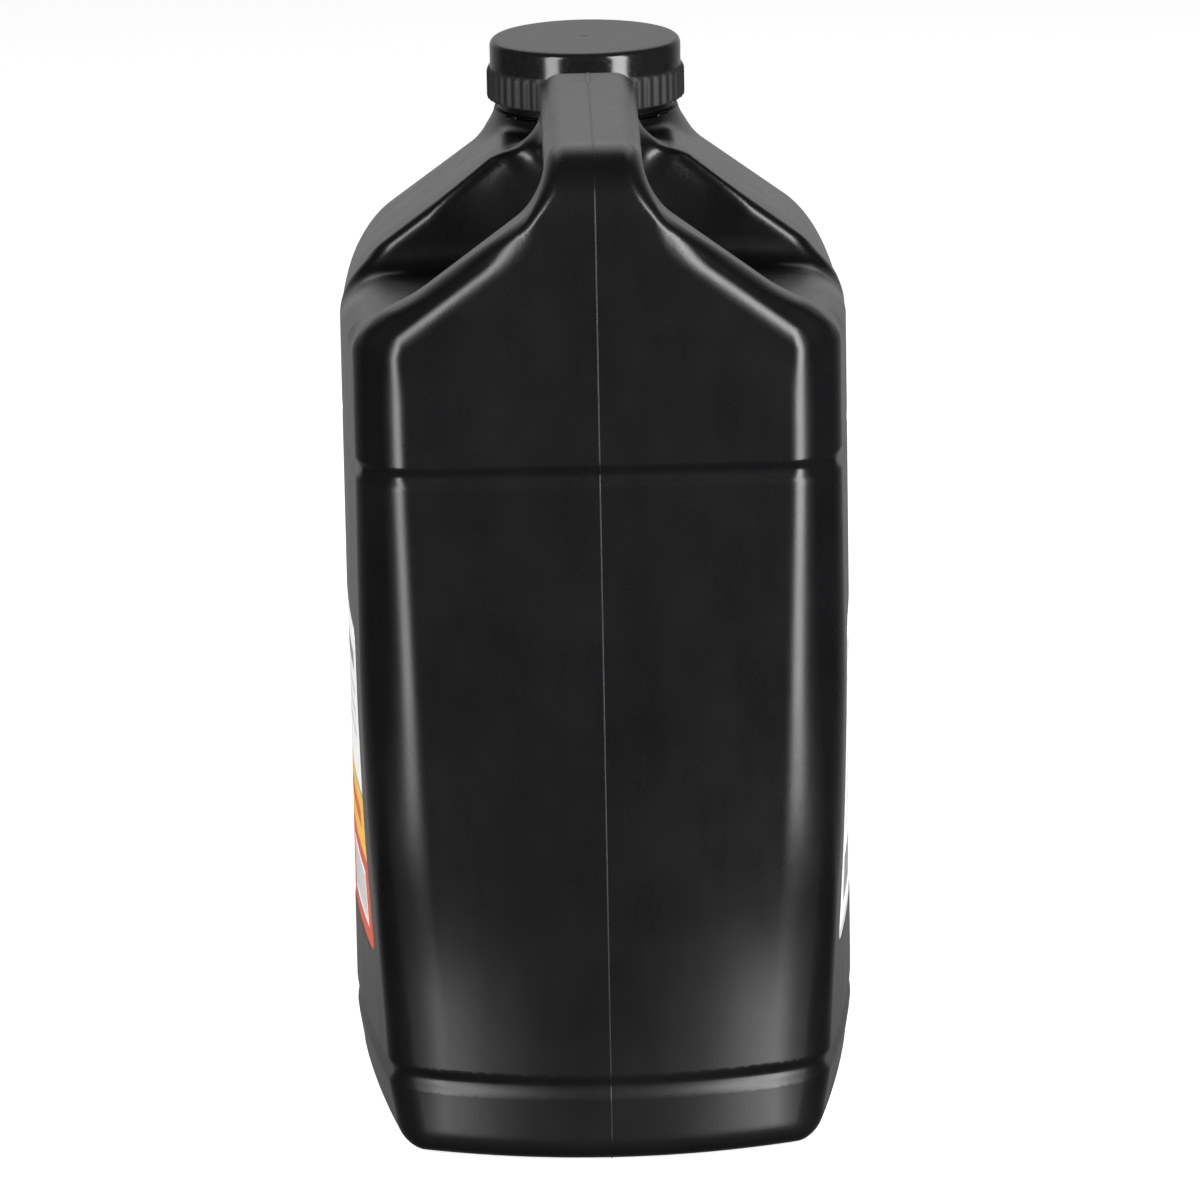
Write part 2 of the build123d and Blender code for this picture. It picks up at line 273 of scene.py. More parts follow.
def roof_form(x, y, z):
    """The shoulder: it slopes to both sides, falls a little to the front and ends in half a cone."""
    ahead = SHOULDER_FRONT_SHARE * np.maximum(0, y - SHOULDER_FRONT)
    slope = slope_form(np.hypot(x, ahead), z + SHOULDER_FALL * np.maximum(0, y), 0)
    return convex(z - SHOULDER_TOP, slope, ROOF_TOP_BLEND)


def strap_outline(x, z):
    """The strap seen from its end: the slopes, with a flare up to the grip's sides."""
    return concave(slope_form(x, z, STRAP_DROP), x - GRIP_HALF, STRAP_FLARE)


def front_form(x, y, z):
    """The shoulder under the neck, with the pocket's front wall: a wall, a ramp and a steep lip over it."""
    wall = FRONT_WALL - y
    ramp = (z - RAMP_FOOT - (y - FRONT_WALL)) * math.sqrt(0.5)
    lip_y = least(LIP_Y, FRONT_WALL + RAMP_TOP_SLOPE * (RAMP_TOP_X - x), LIP_SOFTNESS)
    back = convex(wall, concave(ramp, lip_y - y, LIP_BLEND), WALL_BLEND)
    return convex(roof_form(x, y, z), back, ROOF_REAR_BLEND)


def handle_form(x, y, z):
    """The grip's bar with its leg, and the strap that its leg widens into."""
    side_view = concave(y - STRAP_FRONT, GRIP_UNDER - z, POCKET_CORNER)
    bar = convex(x - GRIP_HALF, convex(side_view, y - GRIP_FRONT, GRIP_CORNER), GRIP_CORNER)
    wings = convex(slope_form(x, z, STRAP_DROP), y - STRAP_FRONT + STRAP_LEAD, STRAP_EDGE)
    return concave(bar, wings, STRAP_FLARE)


def top_form(x, y, z):
    floor = z - POCKET_FLOOR - FLOOR_SLOPE * (HALF_WIDTH - x)
    floor = floor + FLOOR_DROP * between(y, FLOOR_DROP_Y) * between(x, FLOOR_DROP_X)
    base = concave(floor, front_form(x, y, z), FLOOR_BLEND)
    return concave(base, handle_form(x, y, z), POCKET_CORNER)


def edge_blends(y, z, rear):
    """Radii at one point: side to top, end to side, and end to facet."""
    rounding = SIDE_ROUNDING + (POCKET_SIDE_ROUNDING - SIDE_ROUNDING) * between(y, STRAP_TO_POCKET)
    rounding = rounding + (ROOF_SIDE_ROUNDING - POCKET_SIDE_ROUNDING) * between(y, POCKET_TO_ROOF)
    corner = np.interp(z, *CORNER_CURVE)
    rear_edge = corner + np.interp(z, RIDGE_HEIGHTS, RIDGE_CHANGES)
    to_shoulder = ease((z - UPPER_GROOVE_Z) / FRONT_CORNER_RISE)
    front_edge = corner + (SIDE_ROUNDING - CORNER_BLENDS[-1]) * to_shoulder
    upper = np.where(rear, UPPER_EDGE_REAR, UPPER_EDGE_FRONT) * between(z, UPPER_EDGE_RANGE)
    return rounding, np.where(rear, rear_edge, front_edge), np.interp(z, *REAR_EDGE_CURVE) + upper


def end_with_facets(x, y, z, rear, blend):
    """The narrow ends with their cut-off corners; the rear one follows the strap's outline with a bevel."""
    top_z = GRIP_TOP_REAR + (GRIP_TOP_FRONT - GRIP_TOP_REAR) * between(y, GRIP_TOP_RANGE)
    ends = convex(end_form(x, y, z), z - top_z, GRIP_BEND)
    bevel = BEVEL * (1 - BEVEL_LOSS * between(z, BEVEL_FADE))
    rise = (strap_outline(x, z) + bevel) * math.sin(FACET_ANGLE)
    over = rise + ends * math.cos(FACET_ANGLE)
    facets = convex(facet_form(x, y, z), np.where(rear, over, -REACH), FACET_CREASE)
    return convex(ends, facets, blend)


def skin_form(x, y, z, recess=True):
    """The outside of the jug up to its collar."""
    rear = y < 0
    rounding, edge, blend = edge_blends(y, z, rear)
    sides = convex(side_form(x, y, z), top_form(x, y, z), rounding)
    body = convex(end_with_facets(x, y, z, rear, blend), sides, edge)
    body = convex(body, -z, FOOT_RADIUS)
    body = body + GROOVE_DEPTH * bump((z - BASE_GROOVE_Z) / GROOVE_HALF)
    body = body + GROOVE_DEPTH * bump((z - UPPER_GROOVE_Z) / GROOVE_HALF)
    if recess:
        panel = ease(0.5 - label_field(y, z, LABEL_MARGIN) / LABEL_EDGE)
        body = body + LABEL_RECESS * between(x, LABEL_SIDE) * panel
    collar = np.maximum(np.hypot(x, y - NECK_Y) - COLLAR_RADIUS, COLLAR_ROOT - z)
    return concave(body, collar, COLLAR_FILLET)


def cavity_form(x, y, z):
    return skin_form(x, y, z, False) + WALL


def gradient(form, points, step=0.05):
    x, y, z = points.T
    slope = np.stack(
        [
            form(np.abs(x + step), y, z) - form(np.abs(x - step), y, z),
            form(np.abs(x), y + step, z) - form(np.abs(x), y - step, z),
            form(np.abs(x), y, z + step) - form(np.abs(x), y, z - step),
        ],
        1,
    )
    return slope / (2 * step)


def unit(vectors):
    return vectors / np.maximum(np.linalg.norm(vectors, axis=1, keepdims=True), 1e-9)


def settle(form, points, fixed, rounds=4, most=1.0):
    """Moves points onto the form's surface, apart from the coordinates that are fixed."""
    for _ in range(rounds):
        slope = np.where(fixed, 0, gradient(form, points))
        value = form(np.abs(points[:, 0]), points[:, 1], points[:, 2])
        move = slope * (value / np.maximum((slope * slope).sum(1), 0.05))[:, None]
        size = np.linalg.norm(move, axis=1, keepdims=True)
        points = points - move * np.minimum(1, most / np.maximum(size, 1e-9))
    return points


def grid_lines(step):
    """Grid lines with one cell layer centred on x = 0 and another on the collar's top."""
    xs = np.arange(-step / 2, HALF_WIDTH + 3 * step, step)
    ys = np.arange(-HALF_LENGTH - 2 * step, HALF_LENGTH + 3 * step, step)
    above = math.ceil((GRIP_TOP_FRONT + 3 - COLLAR_TOP) / step)
    below = math.ceil((COLLAR_TOP + 3) / step)
    zs = COLLAR_TOP + (np.arange(-below, above + 1) + 0.5) * step
    return xs, ys, zs


def net_cells(inside):
    """The cells that the surface crosses, and each one's number."""
    shape = tuple(n - 1 for n in inside.shape)
    count = np.zeros(shape, np.int8)
    for corner in CELL_CORNERS:
        count += inside[tuple(slice(c, c + n) for c, n in zip(corner, shape))]
    cells = np.argwhere((count > 0) & (count < 8))
    index = np.full(shape, -1, np.int64)
    index[tuple(cells.T)] = np.arange(len(cells))
    return cells, index


def net_places(field, cells):
    """Each cell's vertex, in cells: the mean of the points where the surface crosses the cell's edges."""
    total = np.zeros((len(cells), 3))
    hits = np.zeros(len(cells))
    for axis in range(3):
        for corner in CELL_CORNERS:
            if corner[axis]:
                continue
            other = tuple(c + (a == axis) for a, c in enumerate(corner))
            here = field[tuple((cells + corner).T)]
            there = field[tuple((cells + other).T)]
            crossed = (here < 0) != (there < 0)
            share = np.where(crossed, here / np.where(crossed, here - there, 1), 0)
            spot = np.repeat(np.array([corner], float), len(cells), 0)
            spot[:, axis] = share
            total += np.where(crossed[:, None], spot, 0)
            hits += crossed
    return cells + total / hits[:, None]


def net_quads(inside, index):
    """One quad for each grid edge that the surface crosses, facing outwards."""
    shape = index.shape
    quads = []
    for axis in range(3):
        u, v = (axis + 1) % 3, (axis + 2) % 3
        low = [slice(None)] * 3
        high = [slice(None)] * 3
        low[axis], high[axis] = slice(0, -1), slice(1, None)
        edges = np.argwhere(inside[tuple(low)] != inside[tuple(high)])
        edges = edges[(edges[:, u] > 0) & (edges[:, v] > 0)]
        edges = edges[(edges[:, u] < shape[u]) & (edges[:, v] < shape[v])]
        step_u, step_v = np.eye(3, dtype=int)[u], np.eye(3, dtype=int)[v]
        ring = [edges - step_u - step_v, edges - step_v, edges, edges - step_u]
        quad = np.stack([index[tuple(r.T)] for r in ring], 1)
        outward = inside[tuple(edges.T)]
        quad[~outward] = quad[~outward][:, ::-1]
        quads.append(quad)
    return np.concatenate(quads)


def half_surface(form, step):
    """Surface nets over the half with x >= 0, open at x = 0 and at the collar's top."""
    xs, ys, zs = grid_lines(step)
    grid_x, grid_y = np.meshgrid(np.abs(xs), ys, indexing="ij")
    field = np.stack([form(grid_x, grid_y, np.full_like(grid_x, z)) for z in zs], 2)
    inside = field < 0
    cells, index = net_cells(inside)
    points = np.array([xs[0], ys[0], zs[0]]) + net_places(field, cells) * step
    quads = net_quads(inside, index)
    # The middle of this layer's cells is the collar's top
    rim_layer = int(round((COLLAR_TOP - zs[0]) / step - 0.5))
    at_neck = np.hypot(points[:, 0], points[:, 1] - NECK_Y) < COLLAR_RADIUS + RIM_REACH
    dropped = at_neck & (cells[:, 2] > rim_layer)
    quads = quads[~dropped[quads].any(1)]
    rim = at_neck & (cells[:, 2] == rim_layer)
    return points, quads, cells[:, 0] == 0, rim


def mesh_from(name, points, faces):
    """A mesh from points and either an array of faces of one size or a list of faces."""
    mesh = bpy.data.meshes.new(name)
    mesh.vertices.add(len(points))
    mesh.vertices.foreach_set("co", np.asarray(points, np.float32).ravel())
    sizes = np.array([len(face) for face in faces])
    listed = isinstance(faces, list)
    flat = np.concatenate([np.asarray(face) for face in faces]) if listed else faces.ravel()
    starts = np.concatenate([[0], np.cumsum(sizes)[:-1]])
    mesh.loops.add(len(flat))
    mesh.loops.foreach_set("vertex_index", flat.astype(np.int32))
    mesh.polygons.add(len(sizes))
    mesh.polygons.foreach_set("loop_start", starts.astype(np.int32))
    mesh.update(calc_edges=True)
    mesh.validate()
    return mesh


def thinned(points, quads, share):
    """The surface with fewer triangles, kept where it bends."""
    mesh = mesh_from("thinning", points, quads)
    holder = bpy.data.objects.new("thinning", mesh)
    bpy.context.scene.collection.objects.link(holder)
    modifier = holder.modifiers.new("thin", "DECIMATE")
    modifier.ratio = share
    modifier.use_collapse_triangulate = True
    result = holder.evaluated_get(bpy.context.evaluated_depsgraph_get()).to_mesh()
    co = np.zeros(len(result.vertices) * 3)
    result.vertices.foreach_get("co", co)
    corner = np.zeros(len(result.loops), np.int32)
    result.loops.foreach_get("vertex_index", corner)
    bpy.data.objects.remove(holder)
    bpy.data.meshes.remove(mesh)
    return co.reshape(-1, 3), corner.reshape(-1, 3)


def open_edges(faces):
    """Directed edges that only one face uses."""
    pairs = np.concatenate([faces[:, [i, (i + 1) % faces.shape[1]]] for i in range(faces.shape[1])])
    key = pairs[:, 0] * 10**7 + pairs[:, 1]
    back = pairs[:, 1] * 10**7 + pairs[:, 0]
    return pairs[~np.isin(key, back)]


def used_only(points, faces):
    used = np.unique(faces)
    number = np.full(len(points), -1)
    number[used] = np.arange(len(used))
    return points[used], number[faces], used


def half_skin(form, step, rim_radius, share):
    """One half of the skin, settled on its form, with exact edges at x = 0 and at the collar's top."""
    points, quads, middle, rim = half_surface(form, step)
    points[middle, 0] = 0
    points, quads, used = used_only(points, quads)
    fixed = np.zeros((len(points), 3), bool)
    fixed[middle[used], 0] = True
    fixed[rim[used], 2] = True
    points = settle(form, points, fixed, most=step)
    if share < 1:
        points, faces = thinned(points, quads, share)
    else:
        faces = np.concatenate([quads[:, [0, 1, 2]], quads[:, [0, 2, 3]]])
    on_border = np.zeros(len(points), bool)
    on_border[np.unique(open_edges(faces))] = True
    around = np.hypot(points[:, 0], points[:, 1] - NECK_Y)
    at_rim = on_border & (np.abs(points[:, 2] - COLLAR_TOP) < 0.4 * step)
    at_rim &= around < COLLAR_RADIUS + RIM_REACH
    at_middle = on_border & (points[:, 0] < 0.3 * step)
    at_middle &= ~(at_rim & (points[:, 0] > 0.05 * step))
    points[at_middle, 0] = 0
    fixed = np.zeros((len(points), 3), bool)
    fixed[at_middle, 0] = True
    fixed[at_rim] = True
    angle = np.arctan2(points[at_rim, 0], points[at_rim, 1] - NECK_Y)
    rim_x, rim_y = rim_radius * np.sin(angle), NECK_Y + rim_radius * np.cos(angle)
    points[at_rim] = np.stack([rim_x, rim_y, np.full(len(angle), COLLAR_TOP)], 1)
    points[at_middle & at_rim, 0] = 0
    return settle(form, points, fixed, most=0.5 * step), faces, at_middle


def mirrored(points, faces, middle):
    """Both halves as one surface, sharing the vertices on x = 0."""
    number = np.arange(len(points))
    others = np.flatnonzero(~middle)
    number[others] = len(points) + np.arange(len(others))
    twin = points[others] * (-1, 1, 1)
    return np.concatenate([points, twin]), np.concatenate([faces, number[faces][:, ::-1]])


def rim_loop(points, faces):
    """The open loop's vertices in order of their angle about the neck."""
    border = np.unique(open_edges(faces))
    angle = np.arctan2(points[border, 0], points[border, 1] - NECK_Y)
    order = np.argsort(angle)
    return border[order], angle[order]


def zipper(loop_a, angle_a, loop_b, angle_b):
    """Triangles between two rings of vertices around the neck, each in order of angle."""
    faces = []
    i = j = 0
    count_a, count_b = len(loop_a), len(loop_b)
    turn = 2 * math.pi
    while i < count_a or j < count_b:
        next_a = angle_a[(i + 1) % count_a] + turn * ((i + 1) // count_a)
        next_b = angle_b[(j + 1) % count_b] + turn * ((j + 1) // count_b)
        a, b = loop_a[i % count_a], loop_b[j % count_b]
        if j >= count_b or (i < count_a and next_a <= next_b):
            faces.append((a, loop_a[(i + 1) % count_a], b))
            i += 1
        else:
            faces.append((a, loop_b[(j + 1) % count_b], b))
            j += 1
    return np.array(faces)


# Materials

PRINT_WHITE = (0.80, 0.80, 0.78, 1)
PRINT_OFF_WHITE = (0.74, 0.74, 0.73, 1)
PRINT_PALE = (0.50, 0.51, 0.52, 1)
PRINT_GREY = (0.20, 0.21, 0.22, 1)
PRINT_YELLOW = (0.78, 0.45, 0.03, 1)
PRINT_RED = (0.62, 0.07, 0.02, 1)
PRINT_HALF = 66  # half the length of a full box or bar, in mm
PRINT_END = 90  # past both ends of the label
BAR_PITCH = 7
BAR_HEIGHT = 3


class Nodes:
    """A short way to build a node tree."""

    def __init__(self, name):
        self.material = bpy.data.materials.new(name)
        self.material.use_nodes = True
        self.tree = self.material.node_tree
        self.shader = self.tree.nodes["Principled BSDF"]
        self.where = self.add("ShaderNodeTexCoord").outputs["Object"]

    def add(self, kind, **settings):
        node = self.tree.nodes.new(kind)
        for key, value in settings.items():
            setattr(node, key, value)
        return node

    def link(self, source, target):
        self.tree.links.new(source, target)

    def feed(self, value, socket):
        if isinstance(value, bpy.types.NodeSocket):
            self.link(value, socket)
        else:
            socket.default_value = value

    def math(self, operation, a, b=0.0, clamp=False):
        node = self.add("ShaderNodeMath", operation=operation, use_clamp=clamp)
        self.feed(a, node.inputs[0])
        self.feed(b, node.inputs[1])
        return node.outputs[0]

    def noise(self, scale, detail=2.0, roughness=0.5, stretch=None):
        node = self.add("ShaderNodeTexNoise")
        node.inputs["Scale"].default_value = scale
        node.inputs["Detail"].default_value = detail
        node.inputs["Roughness"].default_value = roughness
        vector = self.where
        if stretch:
            mapping = self.add("ShaderNodeMapping")
            mapping.inputs["Scale"].default_value = stretch
            self.link(vector, mapping.inputs["Vector"])
            vector = mapping.outputs[0]
        self.link(vector, node.inputs["Vector"])
        return node.outputs[0]

    def spread(self, value, low, high, to_low=0.0, to_high=1.0):
        node = self.add("ShaderNodeMapRange")
        self.link(value, node.inputs["Value"])
        for key, number in (("From Min", low), ("From Max", high), ("To Min", to_low), ("To Max", to_high)):
            node.inputs[key].default_value = number
        return node.outputs[0]

    def mix(self, share, a, b):
        node = self.add("ShaderNodeMix", data_type="RGBA")
        self.feed(share, node.inputs["Factor"])
        self.feed(a, node.inputs[6])
        self.feed(b, node.inputs[7])
        return node.outputs[2]

    def bumps(self, layers):
        """Stacks bump layers of (height, distance in mm)."""
        normal = None
        for height, distance in layers:
            node = self.add("ShaderNodeBump")
            node.inputs["Distance"].default_value = distance * MM
            self.link(height, node.inputs["Height"])
            if normal is not None:
                self.link(normal, node.inputs["Normal"])
            normal = node.outputs[0]
        self.link(normal, self.shader.inputs["Normal"])

    def axis(self, name):
        node = self.add("ShaderNodeSeparateXYZ")
        self.link(self.where, node.inputs[0])
        return node.outputs[name]


def jug_plastic():
    n = Nodes("jug_plastic")
    n.shader.inputs["IOR"].default_value = 1.5
    dust = n.noise(26, 6, 0.65)
    colour = n.mix(n.spread(dust, 0.35, 0.75), (0.0026, 0.0026, 0.0029, 1), (0.0048, 0.0048, 0.0052, 1))
    n.link(colour, n.shader.inputs["Base Color"])
    scuffs = n.noise(90, 4, 0.6, (1.0, 1.0, 0.35))
    height = n.axis("Z")
    low = n.spread(height, 0.0, 0.09, 0.08, 0.0)
    rough = n.math("ADD", n.spread(scuffs, 0.3, 0.75, 0.26, 0.31), low)
    n.link(rough, n.shader.inputs["Roughness"])
    speckle = n.math("MULTIPLY", n.noise(1300, 2, 0.7), n.spread(height, 0.262, 0.285))
    n.bumps([(n.noise(55, 3, 0.5), 0.03), (n.noise(700, 2, 0.6), 0.010), (speckle, 0.035)])
    return n.material


def cap_plastic():
    n = Nodes("cap_plastic")
    n.shader.inputs["IOR"].default_value = 1.5
    grain = n.noise(900, 3, 0.6)
    colour = n.mix(n.spread(grain, 0.35, 0.7), (0.006, 0.006, 0.0065, 1), (0.010, 0.010, 0.0105, 1))
    n.link(colour, n.shader.inputs["Base Color"])
    geometry = n.add("ShaderNodeNewGeometry")
    split = n.add("ShaderNodeSeparateXYZ")
    n.link(geometry.outputs["Normal"], split.inputs[0])
    top = n.spread(split.outputs["Z"], 0.55, 0.95)
    ribs = n.spread(n.axis("Z"), CAP_RIB_TOP * MM, (CAP_RIB_TOP + 1) * MM, 0.45, 0.0)
    extra = n.math("MAXIMUM", n.math("MULTIPLY", top, 0.18), ribs)
    rough = n.math("ADD", n.spread(grain, 0.3, 0.75, 0.12, 0.18), extra)
    n.link(rough, n.shader.inputs["Roughness"])
    texture = n.math("MULTIPLY", n.noise(1500, 2, 0.7), top)
    n.bumps([(n.noise(60, 2), 0.03), (texture, 0.05)])
    return n.material


def liner_foam():
    n = Nodes("liner_foam")
    cells = n.noise(2600, 3, 0.6)
    colour = n.mix(n.spread(cells, 0.3, 0.7), (0.70, 0.70, 0.66, 1), (0.84, 0.84, 0.81, 1))
    n.link(colour, n.shader.inputs["Base Color"])
    n.link(n.spread(cells, 0.3, 0.7, 0.55, 0.75), n.shader.inputs["Roughness"])
    n.bumps([(cells, 0.04)])
    return n.material


def label_print(left):
    """Fields of white, yellow and red with plain boxes and bars, as printed film."""
    n = Nodes("label_print_left" if left else "label_print_right")
    y, z = n.axis("Y"), n.axis("Z")
    fields = []

    def within(value, low, high):
        above = n.math("GREATER_THAN", value, low * MM)
        below = n.math("LESS_THAN", value, high * MM)
        return n.math("MULTIPLY", above, below)

    def box(tint, y_low, y_high, z_low, z_high):
        fields.append((n.math("MULTIPLY", within(y, y_low, y_high), within(z, z_low, z_high)), tint))

    def bars(tint, top, ends):
        for row, end in enumerate(ends):
            low = top - BAR_PITCH * row
            box(tint, -PRINT_HALF, end, low, low + BAR_HEIGHT)

    if left:
        box(PRINT_YELLOW, -PRINT_END, PRINT_END, 91, 113)
        box(PRINT_RED, -PRINT_END, PRINT_END, 50, 91)
        box(PRINT_GREY, -PRINT_END, PRINT_END, 112.2, 113.4)
        box(PRINT_WHITE, -68, -20, 66, 85)
        box(PRINT_PALE, -66, -22, 68, 83)
        box(PRINT_WHITE, -8, PRINT_HALF, 74, 78)
        box(PRINT_WHITE, -8, 48, 67, 70)
        box(PRINT_RED, -PRINT_HALF, 30, 99, 105)
    else:
        box(PRINT_PALE, -PRINT_END, PRINT_END, 58, 64)
        bars(PRINT_PALE, 116, (66, 50, 58, 36))
        box(PRINT_GREY, -PRINT_HALF, -30, 70, 86)
        box(PRINT_PALE, -22, 14, 70, 86)
    box(PRINT_GREY, -PRINT_HALF, PRINT_HALF, 152, 158)
    bars(PRINT_PALE, 143, (40, 54, 22))
    colour = n.mix(n.noise(40, 2), PRINT_WHITE, PRINT_OFF_WHITE)
    for mask, tint in fields:
        colour = n.mix(mask, colour, tint)
    n.link(colour, n.shader.inputs["Base Color"])
    n.shader.inputs["Specular IOR Level"].default_value = 0.25
    n.link(n.spread(n.noise(120, 3), 0.3, 0.7, 0.34, 0.45), n.shader.inputs["Roughness"])
    n.bumps([(n.noise(70, 2), 0.04)])
    return n.material


# Pieces


def place(name, mesh, material, body, node):
    mesh.transform(Matrix.Scale(MM, 4))
    mesh.materials.append(material)
    piece = bpy.data.objects.new(name, mesh)
    bpy.context.scene.collection.objects.link(piece)
    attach(piece, body)
    if node:
        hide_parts(node)


def smooth(mesh, angle=None):
    mesh.polygons.foreach_set("use_smooth", np.ones(len(mesh.polygons), bool))
    if angle is not None:
        mesh.set_sharp_from_angle(angle=math.radians(angle))


def helix_bead(angle, z, start_angle):
    """How far a thread stands out at an angle and height, from 0 to 1, with faded ends."""
    bead = np.zeros(np.broadcast(angle, z).shape)
    flank = (THREAD_ROOT - THREAD_CREST) / 2
    for turn in range(-1, 3):
        travel = np.mod(angle - start_angle, 2 * math.pi) + 2 * math.pi * turn
        middle = THREAD_START + THREAD_PITCH * travel / (2 * math.pi)
        across = (THREAD_ROOT / 2 - np.abs(z - middle)) / flank
        total = 2 * math.pi * THREAD_TURNS
        ends = np.clip(np.minimum(travel + 0.06, total + 0.06 - travel) / 0.12, 0, 1)
        bead = np.maximum(bead, np.clip(across, 0, 1) * ends)
    return bead


def turned(profile, count, shift):
    """A profile of (radius, z) rows turned about the neck, with its radius shifted by angle and row."""
    angle = np.arange(count) * 2 * math.pi / count
    radius = profile[:, :1] + shift(angle[None, :], np.arange(len(profile))[:, None])
    x = radius * np.sin(angle)
    y = NECK_Y + radius * np.cos(angle)
    z = np.repeat(profile[:, 1:], count, 1)
    return np.stack([x, y, z], 2).reshape(-1, 3), angle


def ring_faces(rows, count, first=0):
    i = np.arange(rows - 1)[:, None] * count
    j = np.arange(count)[None, :]
    k = (j + 1) % count
    quads = np.stack([i + j, i + count + j, i + count + k, i + k], 2)
    return quads.reshape(-1, 4) + first


def neck_profile():
    """The neck's section over its rim and down the bore, and which of its rows carry the thread."""
    rows = np.arange(COLLAR_TOP + 0.4, NECK_RIM - 0.7, THREAD_ROW)
    profile = [(COLLAR_RADIUS - 0.3, COLLAR_TOP + 0.25), (NECK_RADIUS + 0.2, COLLAR_TOP + 0.3)]
    first = len(profile)
    profile += [(NECK_RADIUS, z) for z in rows]
    profile += [(NECK_RADIUS - 0.2, NECK_RIM - 0.2), (NECK_RADIUS - 0.7, NECK_RIM)]
    profile += [(NECK_BORE + 0.5, NECK_RIM), (NECK_BORE + 0.1, NECK_RIM - 0.3), (NECK_BORE, NECK_RIM - 1.0)]
    profile += [(NECK_BORE, 324.0), (NECK_BORE, COLLAR_TOP + 0.3)]
    place_in_profile = np.arange(len(profile))
    threaded = (place_in_profile >= first) & (place_in_profile < first + len(rows))
    return np.array(profile, float), threaded


def exact_normals(mesh, outer):
    """Gives the skin's vertices the form's own normals, so that its thinned faces don't show."""
    flat = np.zeros(len(mesh.vertices) * 3)
    mesh.vertices.foreach_get("normal", flat)
    normals = flat.reshape(-1, 3)
    exact = unit(gradient(skin_form, outer))
    agree = (exact * normals[: len(outer)]).sum(1) > NORMAL_AGREEMENT
    normals[: len(outer)][agree] = exact[agree]
    mesh.normals_split_custom_set_from_vertices(normals)


def build_jug():
    """The jug's shell and the seam bead on it."""
    outer, outer_faces, middle = half_skin(skin_form, SKIN_STEP, COLLAR_RADIUS, SKIN_SHARE)
    seam = build_seam(outer, outer_faces)
    outer, outer_faces = mirrored(outer, outer_faces, middle)
    inner, inner_faces, middle = half_skin(cavity_form, CAVITY_STEP, NECK_BORE, 1.0)
    inner, inner_faces = mirrored(inner, inner_faces, middle)
    inner_faces = inner_faces[:, ::-1]
    profile, threaded = neck_profile()

    def shift(angle, row):
        # The CAD helix starts on +X and turns towards +Y; this angle is measured from +Y towards +X
        bead = helix_bead(math.pi / 2 - angle, profile[:, 1][row], 0.0)
        return THREAD_DEPTH * bead * threaded[row]

    tube, angle = turned(profile, NECK_COUNT, shift)
    tube_first = len(outer) + len(inner)
    points = np.concatenate([outer, inner, tube])
    signed = np.where(angle > math.pi, angle - 2 * math.pi, angle)
    order = np.argsort(signed)
    loop, loop_angle = rim_loop(outer, outer_faces)
    seam_out = zipper(loop, loop_angle, tube_first + order, signed[order])
    loop, loop_angle = rim_loop(inner, inner_faces)
    last = tube_first + (len(profile) - 1) * NECK_COUNT
    seam_in = zipper(loop + len(outer), loop_angle, last + order, signed[order])[:, ::-1]
    triangles = np.concatenate([outer_faces, inner_faces + len(outer), seam_out, seam_in])
    tube_faces = ring_faces(len(profile), NECK_COUNT, tube_first)
    mesh = mesh_from("jug", points, [list(f) for f in triangles] + [list(f) for f in tube_faces])
    smooth(mesh)
    exact_normals(mesh, outer)
    return mesh, seam


def seam_path(points, faces):
    """The jug's outline on x = 0, from the collar's back over the grip and under the base to its front."""
    after = {int(a): int(b) for a, b in open_edges(faces) if points[a, 0] == 0 and points[b, 0] == 0}
    starts = set(after) - set(after.values())
    longest = []
    for start in starts:
        chain = [start]
        while chain[-1] in after:
            chain.append(after[chain[-1]])
        if len(chain) > len(longest):
            longest = chain
    line = points[longest]
    travel = np.concatenate([[0], np.cumsum(np.linalg.norm(np.diff(line, axis=0), axis=1))])
    even = np.linspace(1.0, travel[-1] - 1.0, int(travel[-1] / SEAM_STEP))
    return np.stack([np.interp(even, travel, line[:, i]) for i in range(3)], 1)


def build_seam(points, faces):
    """The mould's parting line, a fine raised bead, wider where the flash was trimmed on the grip."""
    line = seam_path(points, faces)
    fixed = np.zeros(line.shape, bool)
    fixed[:, 0] = True
    line = settle(skin_form, line, fixed, most=0.5)
    out = unit(gradient(skin_form, line) * (0, 1, 1))
    flash = bump((line[:, 1] - GRIP_FRONT + 14) / 12) * (line[:, 2] > SHOULDER_TOP)
    section = np.array([(-0.42, -0.2), (-0.2, 0.17), (0.0, 0.24), (0.2, 0.17), (0.42, -0.2)])
    across = np.array([1.0, 0.0, 0.0])
    rings = [line + across * (w * (1 + 2.5 * flash))[:, None] + out * h for w, h in section]
    count = len(section)
    ring_points = np.stack(rings, 1).reshape(-1, 3)
    faces = [list(f) for f in ring_faces(len(line), count)]
    faces += [list(range(count)), list(range((len(line) - 1) * count, len(line) * count))[::-1]]
    mesh = mesh_from("mould_seam", ring_points, faces)
    bulk = bmesh.new()
    bulk.from_mesh(mesh)
    bmesh.ops.recalc_face_normals(bulk, faces=bulk.faces)
    bulk.to_mesh(mesh)
    bulk.free()
    smooth(mesh)
    return mesh


